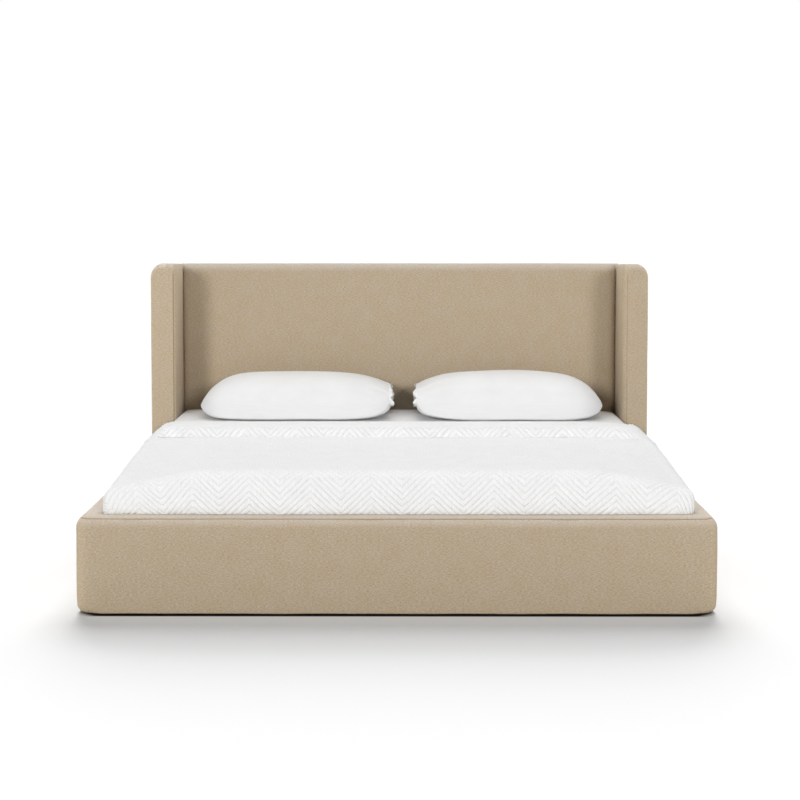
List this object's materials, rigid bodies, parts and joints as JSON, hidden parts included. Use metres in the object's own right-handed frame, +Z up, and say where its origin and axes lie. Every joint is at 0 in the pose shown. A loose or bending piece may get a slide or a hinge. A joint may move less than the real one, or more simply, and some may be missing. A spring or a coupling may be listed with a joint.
{
  "type": "upholstered headboard bed",
  "caption": "King-size platform bed with thick padded rails and a padded winged headboard, made up with mattress, quilted coverlet and pillows.",
  "frame": {"origin": "on the floor, under the middle of the bed's outline", "axes": "+X to the right seen from the foot, +Y from the foot to the headboard, +Z up"},
  "size_m": [2.15, 2.242, 1.12],
  "materials": {
    "upholstery": "heathered beige linen weave",
    "padding": "foam and wadding",
    "timber": "unfinished pine",
    "slat_wood": "planed pine",
    "zinc_steel": "zinc plated",
    "black_steel": "black powder coat",
    "black_plastic": "matte black",
    "mattress_ticking": "white ticking",
    "sheet_cotton": "white percale",
    "coverlet_cotton": "white chevron quilting",
    "pillow_cotton": "white percale"
  },
  "bodies": {
    "frame": {"beam_hanger_foot": "zinc_steel", "beam_hanger_head": "zinc_steel", "centre_beam": "timber", "centre_leg_1": "black_steel", "centre_leg_2": "black_steel", "centre_leg_3": "black_steel", "floor_glides": "black_plastic", "foot_rail_board": "timber", "foot_rail_cover": "upholstery", "foot_rail_foam": "padding", "headboard_back_cover": "upholstery", "headboard_bottom_rail": "timber", "headboard_centre_stile": "timber", "headboard_cover": "upholstery", "headboard_face_board": "timber", "headboard_foam": "padding", "headboard_stile_left": "timber", "headboard_stile_right": "timber", "headboard_top_rail": "timber", "rail_hook_plates": "zinc_steel", "rail_slot_plates": "zinc_steel", "side_rail_board_left": "timber", "side_rail_board_right": "timber", "side_rail_cover_left": "upholstery", "side_rail_cover_right": "upholstery", "side_rail_foam_left": "padding", "side_rail_foam_right": "padding", "slat_01": "slat_wood", "slat_02": "slat_wood", "slat_03": "slat_wood", "slat_04": "slat_wood", "slat_05": "slat_wood", "slat_06": "slat_wood", "slat_07": "slat_wood", "slat_08": "slat_wood", "slat_09": "slat_wood", "slat_10": "slat_wood", "slat_11": "slat_wood", "slat_12": "slat_wood", "slat_ledger_left": "timber", "slat_ledger_right": "timber", "wing_bolts": "zinc_steel", "wing_cover_left": "upholstery", "wing_cover_right": "upholstery", "wing_foam_left": "padding", "wing_foam_right": "padding", "wing_frame_left": "timber", "wing_frame_right": "timber"},
    "made_mattress": {"mattress": "mattress_ticking", "fitted_sheet": "sheet_cotton", "coverlet": "coverlet_cotton"},
    "left_pillow": {"pillow_left": "pillow_cotton"},
    "right_pillow": {"pillow_right": "pillow_cotton"},
    "screw_foot_1": {"levelling_foot_1": "black_plastic"},
    "screw_foot_2": {"levelling_foot_2": "black_plastic"},
    "screw_foot_3": {"levelling_foot_3": "black_plastic"}
  },
  "joints": [
    {"name": "mattress_lift", "type": "slide", "parent": "frame", "child": "made_mattress", "axis": [0, 0, 1], "range_m": [0, 0.95]},
    {"name": "pillow_left_lift", "type": "slide", "parent": "made_mattress", "child": "left_pillow", "axis": [0, 0, 1], "range_m": [0, 0.7]},
    {"name": "pillow_right_lift", "type": "slide", "parent": "made_mattress", "child": "right_pillow", "axis": [0, 0, 1], "range_m": [0, 0.7]},
    {"name": "levelling_foot_1_screw", "type": "slide", "parent": "frame", "child": "screw_foot_1", "axis": [0, 0, -1], "range_m": [0, 0.02]},
    {"name": "levelling_foot_2_screw", "type": "slide", "parent": "frame", "child": "screw_foot_2", "axis": [0, 0, -1], "range_m": [0, 0.02]},
    {"name": "levelling_foot_3_screw", "type": "slide", "parent": "frame", "child": "screw_foot_3", "axis": [0, 0, -1], "range_m": [0, 0.02]}
  ]
}
